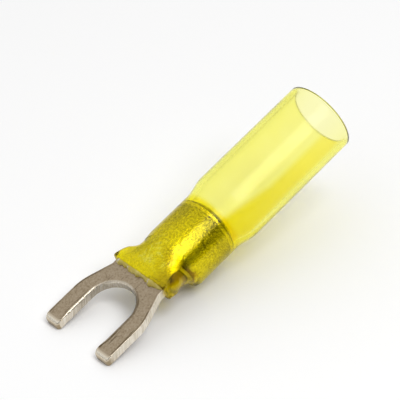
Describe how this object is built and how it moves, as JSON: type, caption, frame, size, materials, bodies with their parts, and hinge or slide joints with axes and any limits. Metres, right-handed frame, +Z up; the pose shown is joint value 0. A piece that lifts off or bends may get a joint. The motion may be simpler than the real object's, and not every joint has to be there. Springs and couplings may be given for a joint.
{
  "type": "fork terminal",
  "caption": "Crimp terminal with a flat forked tongue and a rolled barrel, in a translucent heat-shrink sleeve that is flattened round the neck and open at the wire end.",
  "frame": {"origin": "middle of the footprint, on the surface the terminal lies on", "axes": "+X along the terminal from the prong tips to the sleeve's mouth, +Z up, +Y across the prongs; the barrel's axis rises towards +X as the terminal rests"},
  "size_m": [0.0338, 0.009, 0.0138],
  "materials": {
    "tinned_copper": "satin tin plating over copper",
    "yellow_film": "translucent, smooth",
    "adhesive": "translucent, wet gloss"
  },
  "bodies": {
    "root": {"fork": "tinned_copper", "sleeve": "yellow_film", "adhesive_bead": "adhesive"}
  },
  "joints": []
}
